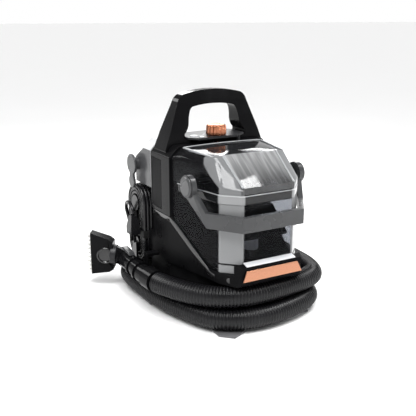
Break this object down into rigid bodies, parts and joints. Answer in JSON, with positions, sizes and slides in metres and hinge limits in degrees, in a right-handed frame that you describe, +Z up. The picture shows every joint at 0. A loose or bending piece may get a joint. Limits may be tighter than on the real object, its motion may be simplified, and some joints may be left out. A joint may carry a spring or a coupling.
{
  "type": "spot extractor",
  "caption": "Portable spot extractor: clear lift-out recovery tank with bail, black spine with carry handle and copper mode dial, hose wound round the base, stain tool, wound mains lead.",
  "frame": {"origin": "on the floor, at the middle of the footprint of the base and its hose lugs", "axes": "+Z up; the recovery tank and nameplate face -Y; +X to the right seen from the front, so the wand and the cord lie on the -X side"},
  "size_m": [0.378, 0.4051, 0.3939],
  "materials": {
    "gloss_black": "high gloss moulded ABS",
    "satin_black": "satin moulded ABS with a fine grain",
    "charcoal": "satin charcoal moulded plastic",
    "clear_plastic": "clear, slightly smoky polycarbonate",
    "smoke_plastic": "dark smoky polycarbonate",
    "copper": "copper metallised, lightly brushed",
    "pale_plastic": "pale grey moulded plastic",
    "rubber": "matt black rubber",
    "cord": "black PVC mains lead",
    "hose": "ribbed black EVA hose",
    "steel": "plated steel",
    "board": "green circuit board",
    "bristle": "white nylon tufts"
  },
  "bodies": {
    "machine": {"spine_shell": "gloss_black", "carry_handle": "gloss_black", "wand": "gloss_black", "hose_cuff": "gloss_black", "lower_housing": "satin_black", "side_panel_left": "satin_black", "side_panel_right": "satin_black", "fan_casing": "satin_black", "water_pump": "satin_black", "suction_duct": "satin_black", "cord_bracket": "satin_black", "hose_inlet": "satin_black", "wand_clip": "satin_black", "base_pan": "charcoal", "control_plate": "charcoal", "tool_collar": "charcoal", "indicator_lens": "smoke_plastic", "nameplate": "copper", "nose_strip": "pale_plastic", "water_tube": "pale_plastic", "foot_front_left": "rubber", "foot_front_right": "rubber", "foot_rear_left": "rubber", "foot_rear_right": "rubber", "gasket_inlet": "rubber", "gasket_air": "rubber", "handle_grip": "rubber", "strain_relief": "rubber", "cord_strap": "rubber", "cord_hank": "cord", "cord_lead": "cord", "plug_tail": "cord", "plug": "cord", "suction_hose": "hose", "suction_motor": "steel", "steam_boiler": "steel", "control_board": "board"},
    "dial": {"mode_dial": "copper"},
    "power_button": {"power_button": "pale_plastic"},
    "steam_button": {"steam_button": "pale_plastic"},
    "tank": {"recovery_tank": "clear_plastic", "tank_separator": "satin_black", "float_guide": "satin_black"},
    "lid": {"tank_lid": "clear_plastic", "tank_seal": "rubber"},
    "float": {"float": "pale_plastic"},
    "bail": {"bail_handle": "charcoal", "pivot_cap_left": "charcoal", "pivot_cap_right": "charcoal"},
    "clean": {"clean_tank": "smoke_plastic"},
    "cap": {"fill_cap": "satin_black"},
    "valve": {"tank_valve": "rubber"},
    "fan": {"suction_fan": "steel"},
    "hook": {"cord_hook": "charcoal"},
    "trigger": {"wand_trigger": "charcoal"},
    "tool": {"stain_tool": "gloss_black", "bristle_strip": "bristle"}
  },
  "joints": [
    {"name": "dial_turn", "type": "hinge", "parent": "machine", "child": "dial", "pos_m": [0, -0.001, 0.32], "axis": [0, 0, 1], "range_deg": [-60, 60]},
    {"name": "power_press", "type": "slide", "parent": "machine", "child": "power_button", "axis": [0, 0, -1], "range_m": [0, 0.0015], "stiffness_N_per_m": 300},
    {"name": "steam_press", "type": "slide", "parent": "machine", "child": "steam_button", "axis": [0, 0, -1], "range_m": [0, 0.0015], "stiffness_N_per_m": 300},
    {"name": "tank_lift", "type": "slide", "parent": "machine", "child": "tank", "axis": [0, 0, 1], "range_m": [0, 0.16]},
    {"name": "lid_lift", "type": "slide", "parent": "tank", "child": "lid", "axis": [0, 0, 1], "range_m": [0, 0.024]},
    {"name": "float_rise", "type": "slide", "parent": "tank", "child": "float", "axis": [0, 0, 1], "range_m": [0, 0.034]},
    {"name": "bail_swing", "type": "hinge", "parent": "tank", "child": "bail", "pos_m": [0, -0.1, 0.247], "axis": [-1, 0, 0], "range_deg": [0, 120]},
    {"name": "clean_lift", "type": "slide", "parent": "machine", "child": "clean", "axis": [0, 0, 1], "range_m": [0, 0.18]},
    {"name": "cap_turn", "type": "hinge", "parent": "clean", "child": "cap", "pos_m": [0.009, 0.099, 0.115], "axis": [0, 0, 1], "range_deg": [0, 90]},
    {"name": "valve_press", "type": "slide", "parent": "cap", "child": "valve", "axis": [0, 0, 1], "range_m": [0, 0.002], "stiffness_N_per_m": 200},
    {"name": "fan_spin", "type": "hinge", "parent": "machine", "child": "fan", "pos_m": [0.018, 0.049, 0.04], "axis": [0, 0, 1], "continuous": true},
    {"name": "hook_turn", "type": "hinge", "parent": "machine", "child": "hook", "pos_m": [-0.119, 0.119, 0.246], "axis": [1, 0, 0], "range_deg": [0, 180]},
    {"name": "trigger_pull", "type": "hinge", "parent": "machine", "child": "trigger", "pos_m": [-0.148, 0.063, 0.0794], "axis": [-1, 0, 0], "range_deg": [0, 4.5], "stiffness_Nm_per_rad": 0.5},
    {"name": "tool_pull", "type": "slide", "parent": "machine", "child": "tool", "axis": [-0.8285, 0.5523, 0.0921], "range_m": [0, 0.04]}
  ]
}
